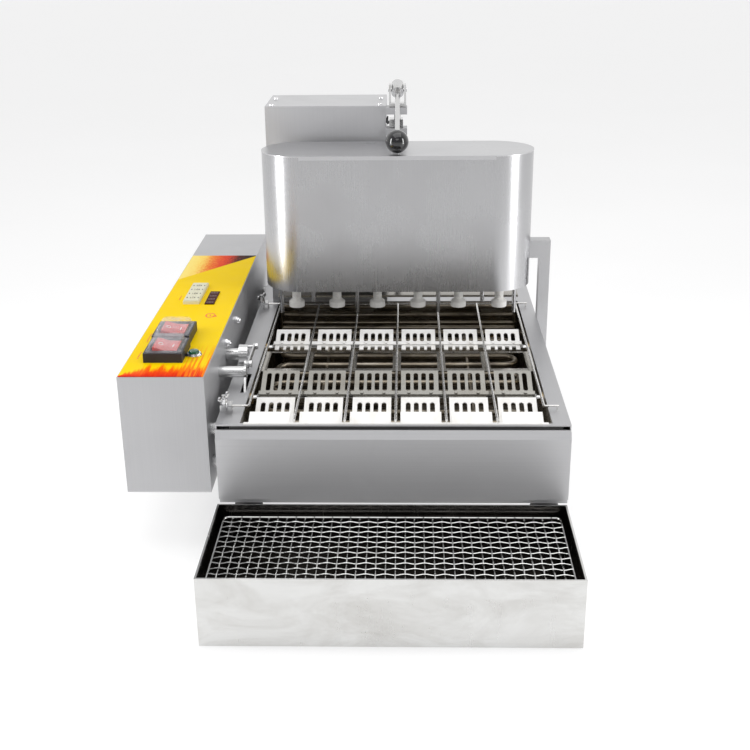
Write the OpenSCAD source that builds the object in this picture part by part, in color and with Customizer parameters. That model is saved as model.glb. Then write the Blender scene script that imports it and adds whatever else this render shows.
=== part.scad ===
// Automatic ring doughnut fryer: a deep oil tank with six lanes, three rows of
// linked flippers, a dosing hopper with six cutter sleeves, a control box on the
// left and a drip tray in front. Millimetres, +Z up, front towards -Y.
// Heights inside the modules are measured from the top of the fryer's flange,
// x from the middle of the lanes and y from the front face.

/* [Fryer body] */
// Left edge of the body, from the middle of the lanes
body_left = 213.5; // [210:0.5:220]
// Right edge of the body, from the middle of the lanes
body_right = 206.5; // [204:0.5:206.5]
// Depth of the body, front to back
body_depth = 660; // [640:5:680]
// Height of the flange above the floor
flange_height = 185; // [185:1:200]
// Height of the body's side walls
body_height = 101; // [98:1:104]
// Thickness of the sheet metal
sheet = 1.5; // [1:0.1:1.8]

/* [Oil tank] */
// Half of the tank's inside width
tank_half = 185; // [183:0.5:186]
// Front of the tank's inside
tank_front = 12; // [11:0.5:13]
// Back of the tank's inside
tank_back = 476; // [470:1:476]
// Depth of the tank
tank_depth = 88; // [80:1:92]

/* [Lanes and flippers] */
// Number of lanes
lanes = 6; // [6:2:6]
// Distance between lanes
lane_pitch = 60; // [59:0.5:61]
// Width of one flipper blade
blade_w = 48; // [44:1:49]
// Tilt of the blades at rest
blade_tilt = 21; // [18:1:22]
// Diameter of the flipper shafts' journals
journal_d = 8; // [7:0.5:8]
// Radial clearance of running fits
fit = 0.05; // [0.03:0.01:0.08]
// Length of the shaft arms
arm_len = 38; // [36:1:38]
// Angle of the arms at rest, from the back towards the top
arm_angle = 240; // [238:1:242]

/* [Hopper] */
// Half of the hopper's length
hopper_half = 193; // [190:1:194]
// Half of the hopper's width
hopper_r = 55.5; // [54:0.5:56]
// Height of the hopper's underside above the flange
hopper_low = 55; // [54:1:57]
// Height of the hopper's rim above the flange
hopper_top = 248.5; // [246:0.5:248.5]

/* [Control box] */
// Left side of the control box
box_left = 331.5; // [328:0.5:335]
// Right side of the control box
box_right = 227.5; // [227:0.5:229]
// Front of the control box
box_front = 30; // [28:1:32]
// Back of the control box
box_back = 690; // [680:1:700]
// Top of the control box above the flange
box_top = 51; // [50:0.5:52]
// Underside of the control box below the flange
box_low = 100; // [98:1:102]

/* [Tray] */
// Depth of the tray, front to back
tray_depth = 169; // [160:1:175]
// Height of the tray
tray_height = 85; // [80:1:85]

/* [Hidden] */
$fn = 48;

// The body and its tank
flange_t = 2;
body_low = -body_height - sheet;
panel_crease = 16;
tank_low = -tank_depth;

// The bracket on the right is the outermost point there
bracket_t = 15.5;
bracket_x1 = body_right + bracket_t;
tray_y0 = -3 - tray_depth;

// The origin is the middle of the whole object's box, on the floor
shift_x = (box_left - bracket_x1) / 2;
shift_y = -(tray_y0 + box_back) / 2;

// Lane middles, and the lines between the lanes
lane_x = [for (i = [0:lanes - 1]) (i - (lanes - 1) / 2) * lane_pitch];
gap_x = [for (i = [1:lanes - 1]) (i - lanes / 2) * lane_pitch];
wire_d = 3;
wire_z = 5;
outer_wire_x = 179;

// Flipper axes as [y, z], and the blades' slots
REAR = [308, -15];
MIDDLE = [124, -15];
DISCHARGE = [40, -28];
blade_t = 1.5;
slot_w = 6;
slot_pitch = 10;
bar_w = 8;
journal_r = journal_d / 2;

// The two hubs beside the control box, and the crank pin offset on each
DRIVE = [204, 15];
ROCKER = [140, 15];
crank_r = 10;
crank_angle = 60;
CRANK = crank_r * [cos(crank_angle), sin(crank_angle)];
ARM = arm_len * [cos(arm_angle), sin(arm_angle)];
rocker_arm_x0 = -195;
rocker_arm_t = 2.8;
flipper_arm_x0 = -191.7;
flipper_arm_t = 2.5;
rod_x0 = -199;
rod_t = 3;
pin_r = 2.5;
link_x0 = -191.2;
link_t = 2;
drive_r = 8;
rocker_r = 7.25;

// Hopper outlets
nozzle_y = 400;
hopper_y = 405.5;
hopper_wall = 1.2;
outlet_r = 5.4;
pin_long_x = [-172, -60, 60, 172];
pin_short_x = [-125, 125];

// Dosing drive
rod_y = 485;
rod_r = 5;
drive_x0 = -195;
drive_x1 = -17;
drive_y0 = 478;
drive_y1 = 593;
drive_top = 299;
crank_z = 277;
crank_throw = 3;
lever_z = 321;
lever_down = 23.8;
lever_len = 132.3;
knob_r = 16;

// Control panel
panel_t = 0.8;
panel_z = box_top + panel_t;
SWITCHES = [[-285, 105], [-287, 168]];
rocker_z = 61;
rocker_rest = 9;
BUTTON = [-251, 102];
TIMER = [-290, 348];
wheel_y = [for (i = [0:3]) TIMER[1] + (i - 1.5) * 19];
wheel_r = 8.8;
wheel_z = 48.7;
NUTS = [[290, 33], [195, 34]];
// Guard rods along the tank's rear wall: y, z and radius
REAR_RODS = [[446, -33, 3.5], [458, -29, 3], [463, -18, 3], [467, -6, 3]];
CLIPS = [52.4, 449];
clip_x = -209;

// Tray
tray_x0 = -215;
tray_x1 = 205;
tray_low = -flange_height;
tray_rim = tray_low + tray_height;
mesh_z = -112;

module place() {
    translate([shift_x, shift_y, flange_height])
        children();
}

// A block between two corners
module block(low, high) {
    translate(low)
        cube(high - low);
}

// A round bar along X
module bar_x(x0, x1, y, z, r) {
    translate([x0, y, z])
        rotate([0, 90, 0])
            cylinder(r = r, h = x1 - x0);
}

// A round bar along Y
module bar_y(y0, y1, x, z, r) {
    translate([x, y0, z])
        rotate([-90, 0, 0])
            cylinder(r = r, h = y1 - y0);
}

// A flat shape drawn as [y, z] and extruded along X
module side_plate(x0, t) {
    translate([x0, 0, 0])
        rotate([90, 0, 90])
            linear_extrude(t)
                children();
}

// A straight strip between two points of a flat shape
module strip_2d(p, q, w) {
    d = q - p;
    translate(p)
        rotate(atan2(d[1], d[0]))
            translate([0, -w / 2])
                square([norm(d), w]);
}

module disc_2d(p, r) {
    translate(p)
        circle(r = r);
}

// A slot with round ends, centred on the origin
module slot_2d(length, w) {
    square([length - w, w], center = true);
    for (s = [-1, 1])
        translate([s * (length - w) / 2, 0])
            circle(d = w, $fn = 24);
}

module stadium_2d(half, r) {
    square([2 * (half - r), 2 * r], center = true);
    for (s = [-1, 1])
        translate([s * (half - r), 0])
            circle(r = r, $fn = 96);
}

module rounded_2d(size, r) {
    difference() {
        square(size);
        for (i = [0, 1])
            for (j = [0, 1])
                translate([i * size[0], j * size[1]])
                    rotate([0, 0, 90 * (i + j + 2 * j * (1 - i))])
                        difference() {
                            translate([-1, -1])
                                square(r + 1);
                            translate([r, r])
                                circle(r = r);
                        }
    }
}

// ---------------------------------------------------------------- fryer body

module body_shell() {
    color("silver")
    place()
    difference() {
        block([-body_left, 7.5, -body_height], [body_right, body_depth, -flange_t]);
        block([-body_left + sheet, 0, -body_height - 1],
              [body_right - sheet, body_depth - sheet, 0]);
        for (y = [58, 620])
            for (z = [-28, -72])
                bar_x(-body_left - 1, -body_left + sheet + 1, y, z, 4);
        for (x = [-150:50:150])
            for (z = [-80:12:-44])
                translate([x, body_depth - 5, z])
                    rotate([-90, 0, 0])
                        linear_extrude(10)
                            slot_2d(34, 5);
    }
}

module bottom_covers() {
    color("silver")
    place() {
        difference() {
            block([-body_left, 7.5, body_low], [body_right, body_depth, -body_height]);
            for (x = [-120:60:120])
                for (y = [540:20:620])
                    translate([x, y, body_low - 1])
                        linear_extrude(4)
                            slot_2d(40, 6);
        }
        difference() {
            block([-box_left, box_front, -box_low - sheet], [-box_right, box_back, -box_low]);
            translate([-290, 640, -box_low - 5])
                cylinder(r = 7, h = 10);
        }
    }
}

module front_panel() {
    outer = [[5, -6], [0, -panel_crease], [0, -95], [5.8, -97], [5.8, body_low]];
    inner = [[7.3, body_low], [7.3, -95.6], [sheet, -93.6], [sheet, -panel_crease - 0.2], [6.6, -6]];
    color("gainsboro")
    place()
    intersection() {
        side_plate(-body_left, body_left + body_right)
            polygon(concat(outer, inner));
        translate([-body_left, 20, body_low])
            rotate([90, 0, 0])
                linear_extrude(40)
                    union() {
                        square([body_left + body_right, -body_low - 10]);
                        rounded_2d([body_left + body_right, -body_low], 9);
                    }
    }
}

module top_frame() {
    color("silver")
    place()
    translate([0, 0, -flange_t])
        linear_extrude(flange_t)
            difference() {
                translate([-body_left, 7.5])
                    square([body_left + body_right, body_depth - 7.5]);
                translate([-tank_half, tank_front])
                    square([2 * tank_half, tank_back - tank_front]);
                translate([-197, 106])
                    square([7, 64]);
            }
}

module oil_tank() {
    color("gray")
    place()
    difference() {
        block([-tank_half - sheet, tank_front - sheet, tank_low - sheet],
              [tank_half + sheet, tank_back + sheet, -flange_t]);
        block([-tank_half, tank_front, tank_low], [tank_half, tank_back, 1]);
        for (p = [REAR, MIDDLE, DISCHARGE])
            bar_x(-200, 200, p[0], p[1], 6.02);
        for (y = [62, 436])
            bar_x(180, 200, y, -38, 4.1);
        bar_y(470, 480, 150, -60, 5.02);
    }
}

module feet() {
    color("black")
    place()
    for (x = [-181, 181])
        for (y = [22, body_depth - 22])
            translate([x, y, 0])
                rotate_extrude()
                    polygon([[0, body_low], [14, body_low], [17.5, body_low - 12],
                             [21, 4 - flange_height], [22, 4 - flange_height],
                             [22, 1 - flange_height], [21, -flange_height],
                             [0, -flange_height]]);
}

// Twelve straight runs joined by half turns, ending in two legs through the right wall
module heater_element() {
    r = 4;
    runs = 12;
    pitch = 34;
    half = 152;
    z = -38;
    color("dimgray")
    place() {
        for (i = [0:runs - 1])
            bar_x(-half, i == 0 || i == runs - 1 ? 192 : half, 62 + i * pitch, z, r);
        for (i = [0:runs - 2])
            translate([i % 2 == 0 ? -half : half, 62 + (i + 0.5) * pitch, z])
                rotate([0, 0, i % 2 == 0 ? 90 : -90])
                    rotate_extrude(angle = 180)
                        translate([pitch / 2, 0])
                            circle(r = r);
        for (p = REAR_RODS)
            bar_x(-177.5, 177.5, p[0], p[1], p[2]);
    }
}

module heater_supports() {
    color("silver")
    place() {
        for (x = [-179, 177.5])
            block([x, 442, tank_low], [x + 1.5, 472, -2]);
        for (x = [-100, 0, 100])
            heater_support(x);
    }
}

module heater_support(x) {
    difference() {
        union() {
            block([x - 1.5, 52, -48], [x + 1.5, 446, -37]);
            for (y = [79, 249, 419])
                block([x - 1.5, y - 10, tank_low], [x + 1.5, y + 10, -47]);
        }
        for (i = [0:11])
            bar_x(x - 5, x + 5, 62 + i * 34, -38, 4.05);
    }
}

module thermostat_probe() {
    color("goldenrod")
    place() {
        bar_y(392, 486, 150, -60, 3);
        bar_y(tank_back - 4, tank_back, 150, -60, 7);
        bar_y(tank_back - 1, 486, 150, -60, 5);
    }
}

module lane_wire_rack() {
    r = wire_d / 2;
    cross_r = r - 0.1;
    color("lightgray")
    place() {
        for (x = gap_x) {
            bar_y(8.9, 447, x, wire_z, r);
            translate([x, 10, sheet])
                cylinder(r = 1, h = wire_z - sheet);
        }
        for (x = [-outer_wire_x, outer_wire_x])
            bar_y(CLIPS[0] - 1, CLIPS[1] + 1, x, wire_z, r);
        bar_x(-outer_wire_x, outer_wire_x, 446, wire_z, cross_r);
        for (y = CLIPS) {
            bar_x(-205, -outer_wire_x, y, wire_z, cross_r);
            bar_x(outer_wire_x, 197, y, wire_z, cross_r);
            for (x = [-199, 195])
                translate([x, y, 0])
                    cylinder(r = 1, h = wire_z);
        }
    }
}

module rack_clips() {
    color("silver")
    place()
    for (y = CLIPS) {
        block([-213, y - 8, 0], [-206, y + 8, 6.7]);
        block([-213, y - 8, 6.7], [-199, y + 8, 8.2]);
        translate([clip_x, y, 8])
            cylinder(r = 2.5, h = 11);
    }
}

module wing_nut(y) {
    color("silver")
    place()
    translate([clip_x, y, 8.5])
        difference() {
            union() {
                cylinder(r1 = 5, r2 = 4.2, h = 6);
                for (s = [0, 180])
                    rotate([0, 0, s + 70])
                        rotate([90, 0, 0])
                            translate([0, 0, -1])
                                linear_extrude(2) {
                                    polygon([[2, 1], [8, 5], [10, 5.6], [8, 8], [3, 5]]);
                                    translate([9.5, 8.2])
                                        circle(r = 3.2);
                                }
            }
            translate([0, 0, -1])
                cylinder(r = 2.5 + fit, h = 20);
        }
}

module wing_nut_front() {
    wing_nut(CLIPS[0]);
}

module wing_nut_rear() {
    wing_nut(CLIPS[1]);
}

// A submerged plate with one window for each lane
module lane_grid() {
    color("silver")
    place() {
        difference() {
            block([-184, 196, -8], [184, 270, -6.5]);
            for (x = lane_x)
                block([x - 24.5, 206, -9], [x + 24.5, 266, -5]);
        }
        for (x = [-183.9, 182.4])
            block([x, 196, -8], [x + 1.5, 270, -2.2]);
    }
}

module discharge_lips() {
    w = 48.6;
    color("silver")
    place() {
        block([-180, 7.5, 0], [180, 11.5, sheet]);
        for (x = lane_x)
            side_plate(x - w / 2, w)
                polygon([[8.6, 0.4], [12, 0.2], [28.6, 6.4], [28, 7.9], [11.5, 1.7], [8.6, 1.4]]);
    }
}

module shaft_bearings() {
    color("goldenrod")
    place() {
        for (p = [REAR, MIDDLE, DISCHARGE])
            for (x = [-189, 183])
                difference() {
                    union() {
                        bar_x(x, x + 6, p[0], p[1], 6);
                        bar_x(x > 0 ? x : x + 4, x > 0 ? x + 2 : x + 6, p[0], p[1], 7.4);
                    }
                    bar_x(x - 1, x + 7, p[0], p[1], journal_r + fit);
                }
        bearing_block(DRIVE, drive_r);
        bearing_block(ROCKER, rocker_r);
    }
}

module bearing_block(p, r) {
    difference() {
        block([-249, p[0] - 15, p[1] - 15], [-box_right - sheet, p[0] + 15, p[1] + 15]);
        bar_x(-260, -220, p[0], p[1], r + fit);
    }
}

// ------------------------------------------------------------------ flippers

// A square bar between round journals, with its arm welded on the left
module flipper_shaft(p) {
    color("silver")
    place() {
        translate([-178, p[0], p[1]])
            rotate([blade_tilt, 0, 0])
                translate([0, -bar_w / 2, -bar_w / 2])
                    cube([356, bar_w, bar_w]);
        bar_x(flipper_arm_x0, -177, p[0], p[1], journal_r);
        bar_x(177, 191, p[0], p[1], journal_r);
        shaft_arm(p);
    }
}

module shaft_arm(p) {
    side_plate(flipper_arm_x0, flipper_arm_t) {
        strip_2d(p, p + ARM, 8);
        disc_2d(p, 6);
        disc_2d(p + ARM, 5.5);
    }
    arm_pin(p + ARM, flipper_arm_x0);
}

// The riveted pin that carries the coupling rod
module arm_pin(p, arm_x0) {
    bar_x(rod_x0 - 1, arm_x0 + 0.5, p[0], p[1], pin_r);
    bar_x(rod_x0 - 1.8, rod_x0 - 0.3, p[0], p[1], 4);
}

// Six slotted blades joined by a clamp bar, in the shaft's own tilted frame.
// They reach from -front to reach, with slots between slot_from and slot_to.
module comb_blades(p, front, reach, slot_from, slot_to, teeth) {
    slot_len = slot_to - slot_from;
    place()
    translate([0, p[0], p[1]])
        rotate([blade_tilt, 0, 0])
            translate([0, 0, bar_w / 2]) {
                for (x = lane_x)
                    linear_extrude(blade_t)
                        difference() {
                            translate([x - blade_w / 2, -front])
                                square([blade_w, reach + front]);
                            for (i = [-1.5:1.5]) {
                                translate([x + i * slot_pitch, slot_from + slot_len / 2])
                                    rotate(90)
                                        slot_2d(slot_len, slot_w);
                                translate([x + i * slot_pitch - slot_w / 2, -front - 1])
                                    square([slot_w, teeth + 1]);
                            }
                        }
                clamp_bar(6.5);
            }
}

// The bar that holds the blades down, with its screw heads
module clamp_bar(w) {
    translate([-176, -1, blade_t])
        cube([352, w, 2.2]);
    for (x = lane_x)
        for (s = [-14, 14])
            translate([x + s, w / 2 - 1, blade_t + 2])
                cylinder(r = 2.4, h = 1.6);
}

module rear_shaft() {
    flipper_shaft(REAR);
}

module rear_blades() {
    color("whitesmoke")
    comb_blades(REAR, 10, 34, 8, 26, 7);
}

module middle_shaft() {
    flipper_shaft(MIDDLE);
}

module middle_blades() {
    color("lightgray")
    comb_blades(MIDDLE, 4, 46, 8, 41, 0);
}

module discharge_shaft() {
    flipper_shaft(DISCHARGE);
}

// The last row tips the rings over the front lips
module discharge_blades() {
    color("whitesmoke")
    comb_blades(DISCHARGE, 4, 60, 22, 51, 0);
}

// The rod that makes the three shafts turn with the rocker
module coupling_rod() {
    pins = [for (p = [REAR, MIDDLE, DISCHARGE, ROCKER]) p + ARM];
    foot = [pins[3][0] + 30, pins[1][1]];
    color("silver")
    place()
    difference() {
        side_plate(rod_x0, rod_t) {
            strip_2d(pins[0], pins[1], 8);
            strip_2d(pins[1], pins[2], 8);
            strip_2d(pins[3], pins[1], 8);
            strip_2d(pins[3], foot, 8);
            for (p = pins)
                disc_2d(p, 5.5);
        }
        for (p = pins)
            bar_x(rod_x0 - 1, rod_x0 + rod_t + 1, p[0], p[1], pin_r + fit);
    }
}

// The front hub: its sleeve, the long arm down to the rod and the crank pin
module rocker_shaft() {
    color("silver")
    place() {
        bar_x(-248, rocker_arm_x0 + 0.2, ROCKER[0], ROCKER[1], rocker_r);
        side_plate(rocker_arm_x0, rocker_arm_t) {
            strip_2d(ROCKER, ROCKER + ARM, 8);
            strip_2d(ROCKER, ROCKER + CRANK, 8);
            disc_2d(ROCKER, 9);
            disc_2d(ROCKER + ARM, 5.5);
            disc_2d(ROCKER + CRANK, 5);
        }
        arm_pin(ROCKER + ARM, rocker_arm_x0);
        crank_pin(ROCKER + CRANK, rocker_arm_x0 + rocker_arm_t - 0.5);
    }
}

// A crank pin and the hexagon nut on its end
module crank_pin(p, x0) {
    bar_x(x0, -186, p[0], p[1], pin_r);
    translate([link_x0 + link_t + 0.4, p[0], p[1]])
        rotate([0, 90, 0])
            cylinder(r = 4.6, h = 3.2, $fn = 6);
}

module link_plate() {
    a = ROCKER + CRANK;
    b = DRIVE + CRANK;
    color("silver")
    place()
    difference() {
        side_plate(link_x0, link_t) {
            strip_2d(a, b, 8);
            disc_2d(a, 5);
            disc_2d(b, 5);
        }
        for (p = [a, b])
            bar_x(link_x0 - 1, link_x0 + link_t + 1, p[0], p[1], pin_r + fit);
    }
}

// The rear hub: the gearmotor's output shaft, its collar and the crank pin
module drive_shaft() {
    color("silver")
    place() {
        bar_x(-283, -209, DRIVE[0], DRIVE[1], drive_r);
        bar_x(-210, -198, DRIVE[0], DRIVE[1], 13);
        crank_pin(DRIVE + CRANK, -198.5);
    }
}

// The flipper gearmotor in the control box and the dosing gearmotor in its own box
module gearmotors() {
    color("dimgray")
    place() {
        difference() {
            union() {
                block([-290, 174, -22], [-250, 234, 38]);
                bar_y(233, 326, -276, -10, 26);
                block([-300, 180, -box_low], [-252, 228, -21]);
            }
            bar_x(-284, -240, DRIVE[0], DRIVE[1], drive_r + fit);
        }
        difference() {
            union() {
                block([-80, drive_y0 + sheet, 247], [-34, 542, 293]);
                bar_x(-160, -79, 512, 270, 24);
                block([-78, 486, 0], [-36, 540, 248]);
            }
            bar_x(-76, -30, rod_y, crank_z, 4 + fit);
        }
    }
}

// --------------------------------------------------------------- control box

module box_spacers() {
    color("silver")
    place()
    for (y = [58, 620])
        for (z = [-28, -72]) {
            bar_x(-box_right, -body_left, y, z, 8);
            bar_x(-box_right - 8, -body_left + 8, y, z, 3.9);
            bar_x(-body_left + sheet, -body_left + sheet + 5, y, z, 6.5);
            bar_x(-box_right - sheet - 5, -box_right - sheet, y, z, 6.5);
        }
}

module control_box_shell() {
    color("silver")
    place()
    difference() {
        block([-box_left, box_front, -box_low], [-box_right, box_back, box_top]);
        block([-box_left + sheet, box_front + sheet, -box_low - 1],
              [-box_right - sheet, box_back - sheet, box_top - sheet]);
        panel_cutouts(0);
        bar_x(-235, -220, DRIVE[0], DRIVE[1], drive_r + 0.3);
        bar_x(-235, -220, ROCKER[0], ROCKER[1], rocker_r + 0.3);
        for (p = NUTS)
            bar_x(-235, -220, p[0], p[1], 3.02);
        for (y = [58, 620])
            for (z = [-28, -72])
                bar_x(-235, -220, y, z, 3.95);
        for (y = [420:16:580])
            translate([-box_left - 5, y, -40])
                rotate([90, 0, 90])
                    linear_extrude(10)
                        rotate(90)
                            slot_2d(60, 5);
    }
}

// Openings through the top sheet and the overlay, each wider by twice the margin
module panel_cutouts(margin) {
    low = box_top - 4;
    m = margin;
    for (p = SWITCHES)
        block([p[0] - 20.2 - m, p[1] - 22.2 - m, low], [p[0] + 20.2 + m, p[1] + 22.2 + m, low + 10]);
    block([TIMER[0] - 10.1 - m, TIMER[1] - 42.1 - m, low],
          [TIMER[0] + 10.1 + m, TIMER[1] + 42.1 + m, low + 10]);
    translate([BUTTON[0], BUTTON[1], low])
        cylinder(r = 8.05 + m, h = 10);
}

module control_panel() {
    color("gold")
    place()
    difference() {
        block([-box_left + 1, box_front + 1.7, box_top], [-box_right - 1, 554.6, panel_z]);
        panel_cutouts(0);
    }
}

// A bank of four number wheels behind slots in a raised frame
module timer_housing() {
    top = 57;
    color("ivory")
    place() {
        difference() {
            union() {
                block([TIMER[0] - 10, TIMER[1] - 42, 38], [TIMER[0] + 10, TIMER[1] + 42, top]);
                block([TIMER[0] - 11.5, TIMER[1] - 43.5, panel_z],
                      [TIMER[0] + 11.5, TIMER[1] + 43.5, top - 0.8]);
            }
            for (y = wheel_y)
                bar_y(y - 4.3, y + 4.3, TIMER[0], wheel_z, wheel_r + 0.3);
        }
        bar_y(TIMER[1] - 40, TIMER[1] + 40, TIMER[0], wheel_z, 1.5);
    }
}

// One knurled number wheel
module thumbwheel(i) {
    color("white")
    place()
    difference() {
        bar_y(wheel_y[i] - 4, wheel_y[i] + 4, TIMER[0], wheel_z, wheel_r);
        bar_y(wheel_y[i] - 5, wheel_y[i] + 5, TIMER[0], wheel_z, 1.5 + fit);
        for (a = [0:36:324])
            translate([TIMER[0], wheel_y[i] - 5, wheel_z])
                rotate([0, a + 18, 0])
                    translate([wheel_r, 0, 0])
                        rotate([-90, 0, 0])
                            cylinder(r = 0.7, h = 10, $fn = 16);
    }
}

module thumbwheel_1() {
    thumbwheel(0);
}

module thumbwheel_2() {
    thumbwheel(1);
}

module thumbwheel_3() {
    thumbwheel(2);
}

module thumbwheel_4() {
    thumbwheel(3);
}

module display_window() {
    color("darkred")
    place()
    block([-271, 303, panel_z], [-257.5, 361, panel_z + 1.2]);
}

// Two square switch frames with a pocket and pivot holes for the rockers
module switch_bases() {
    color("black")
    place()
    for (p = SWITCHES)
        difference() {
            union() {
                block([p[0] - 24, p[1] - 29, panel_z], [p[0] + 24, p[1] + 29, 63.8]);
                block([p[0] - 20, p[1] - 22, 41], [p[0] + 20, p[1] + 22, panel_z + 1]);
            }
            block([p[0] - 16.5, p[1] - 18.5, 50.5], [p[0] + 16.5, p[1] + 18.5, 70]);
            bar_y(p[1] - 21.2, p[1] + 21.2, p[0], rocker_z, 2 + fit);
        }
}

// A rocker on its pivot pin, resting with one side pressed
module switch_rocker(p) {
    color("firebrick")
    place()
    translate([p[0], p[1], rocker_z])
        rotate([0, rocker_rest, 0]) {
            translate([0, 18, 0])
                rotate([90, 0, 0])
                    linear_extrude(36)
                        polygon([[-15, -4.5], [15, -4.5], [15, 5], [0, 3], [-15, 5]]);
            rotate([90, 0, 0])
                translate([0, 0, -21])
                    cylinder(r = 2, h = 42);
        }
}

module front_rocker() {
    switch_rocker(SWITCHES[0]);
}

module rear_rocker() {
    switch_rocker(SWITCHES[1]);
}

// Clear splash covers over the two rockers
module switch_covers() {
    color("whitesmoke", 0.5)
    place()
    for (p = SWITCHES)
        translate([p[0], p[1], 63.8])
            difference() {
                linear_extrude(10)
                    translate([-22, -26])
                        rounded_2d([44, 52], 4);
                translate([0, 0, -1])
                    linear_extrude(9.8)
                        translate([-20.6, -24.6])
                            rounded_2d([41.2, 49.2], 3);
            }
}

module button_bezel() {
    color("lightgray")
    place()
    translate([BUTTON[0], BUTTON[1], 0])
        rotate_extrude()
            polygon([[6.7, 38], [8, 38], [8, panel_z], [10, panel_z], [10, panel_z + 1.5],
                     [8.4, panel_z + 4], [6.7, panel_z + 4]]);
}

module start_button() {
    color("green")
    place()
    translate([BUTTON[0], BUTTON[1], 0])
        rotate_extrude()
            polygon([[0, 43], [6.62, 43], [6.62, panel_z + 5.5], [5.6, panel_z + 6.8],
                     [0, panel_z + 7.6]]);
}

// Dome nuts on the studs that carry the inner mounting rail
module acorn_nuts() {
    color("lightgray")
    place()
    for (p = NUTS)
        translate([-box_right, p[0], p[1]])
            rotate([0, 90, 0]) {
                cylinder(r = 5.4, h = 4, $fn = 6);
                translate([0, 0, 3.5])
                    cylinder(r1 = 4.4, r2 = 4.1, h = 2.5);
                translate([0, 0, 5.2])
                    sphere(r = 4);
                translate([0, 0, -10])
                    cylinder(r = 3, h = 12);
            }
}

// The mains lead's inlet under the back of the control box
module cable_gland() {
    color("black")
    place()
    translate([-290, 640, 0])
        difference() {
            union() {
                translate([0, 0, -box_low - 18])
                    cylinder(r = 9, h = 9);
                translate([0, 0, -box_low - 9.5])
                    cylinder(r = 11, h = 9.5 - sheet, $fn = 6);
                translate([0, 0, -box_low - 10])
                    cylinder(r = 6.95, h = 16);
                translate([0, 0, -box_low])
                    cylinder(r = 10, h = 5, $fn = 6);
            }
            translate([0, 0, -box_low - 20])
                cylinder(r = 4.5, h = 30);
        }
}

module control_board() {
    color("darkgreen")
    place() {
        block([-325, 430, -86], [-240, 600, -84]);
        for (x = [-320, -245])
            for (y = [436, 594])
                translate([x, y, -box_low])
                    cylinder(r = 3, h = 14.5);
        block([-318, 445, -84.2], [-280, 490, -52]);
        block([-272, 445, -84.2], [-246, 500, -64]);
        block([-318, 505, -84.2], [-290, 560, -60]);
        block([-280, 520, -84.2], [-246, 585, -70]);
    }
}

// -------------------------------------------------------------------- hopper

module hopper() {
    color("silver")
    place() {
        difference() {
            union() {
                translate([0, hopper_y, hopper_low])
                    linear_extrude(hopper_top - hopper_low)
                        stadium_2d(hopper_half, hopper_r);
                for (x = lane_x)
                    translate([x, nozzle_y, 31])
                        cylinder(r = outlet_r, h = 26);
                for (x = pin_long_x)
                    translate([x, nozzle_y, 8])
                        cylinder(r = 3, h = 48);
                for (x = pin_short_x)
                    translate([x, nozzle_y, 25])
                        cylinder(r = 3, h = 31);
                for (x = [-150, -55])
                    for (z = [100, 210])
                        bar_y(hopper_y + hopper_r - 1, drive_y0, x, z, 5);
            }
            translate([0, hopper_y, hopper_low + 2])
                linear_extrude(hopper_top)
                    stadium_2d(hopper_half - hopper_wall, hopper_r - hopper_wall);
            for (x = lane_x)
                translate([x, nozzle_y, 20])
                    cylinder(r = 4.4, h = 60);
        }
    }
}

module hopper_lid() {
    z = hopper_top + 0.3;
    color("gainsboro")
    place() {
        translate([0, hopper_y, z])
            linear_extrude(sheet)
                stadium_2d(hopper_half + 0.5, hopper_r + 1.5);
        for (y = [hopper_y - hopper_r - 1.5, hopper_y + hopper_r + 0.3])
            block([-136, y, z - 4], [136, y + 1.2, z + 0.1]);
    }
}

// Six centre plugs on stems, hanging from a bar that stands on the hopper's floor
module plug_stems() {
    color("gainsboro")
    place() {
        block([-160, nozzle_y - 3, 66], [160, nozzle_y + 3, 72]);
        for (x = [-120, 0, 120])
            block([x - 3, nozzle_y - 3, hopper_low + 2], [x + 3, nozzle_y + 3, 67]);
        for (x = lane_x)
            translate([x, nozzle_y, 0])
                rotate_extrude()
                    polygon([[0, 18.5], [8, 18.5], [8, 20], [2, 24], [2, 67], [0, 67]]);
    }
}

module cutter_sleeves() {
    in_r = outlet_r + fit;
    color("white")
    place()
    for (x = lane_x)
        translate([x, nozzle_y, 0]) {
            rotate_extrude()
                polygon([[9.8, 18], [11.4, 18], [11.4, 26], [6.5, 30], [6.5, 48], [in_r, 48],
                         [in_r, 30], [9.8, 22.6]]);
            translate([0, -6.2, 34])
                rotate([90, 0, 0])
                    cylinder(r = 2, h = 2.2, $fn = 24);
        }
}

module lift_plate() {
    color("silver")
    place()
    difference() {
        union() {
            block([-178, nozzle_y, 31], [178, 468, 34]);
            block([-13, 467, 31], [13, rod_y + 9, 34]);
        }
        for (x = lane_x)
            translate([x, nozzle_y, 20])
                cylinder(r = 6.56, h = 20);
        for (x = concat(pin_long_x, pin_short_x))
            translate([x, nozzle_y, 20])
                cylinder(r = 3.5, h = 20);
        translate([0, rod_y, 20])
            cylinder(r = rod_r, h = 20);
        for (x = [-110, 0, 110])
            translate([x, 435, 20])
                linear_extrude(30)
                    slot_2d(70, 26);
    }
}

// The rod that raises the sleeves, with its yoke and the lever's clevis
module lift_rod() {
    color("lightgray")
    place()
    translate([0, rod_y, 0]) {
        translate([0, 0, 28])
            cylinder(r = rod_r, h = 271);
        translate([0, 0, 26])
            cylinder(r = 8.5, h = 5, $fn = 6);
        difference() {
            block([-12.3, -11, 268.3], [8, 11, 279.7]);
            block([-13, -5.8, crank_z - crank_throw - 3], [-5.3, 5.8, crank_z - crank_throw + 3]);
        }
        block([-12.5, -9, 298], [12.5, 9, 302.5]);
        for (x = [-12.5, 9.5])
            block([x, -9, 298], [x + 3, 9, lever_z + 8]);
        bar_x(-13.6, 13.6, 0, lever_z, 3);
    }
}

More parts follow.
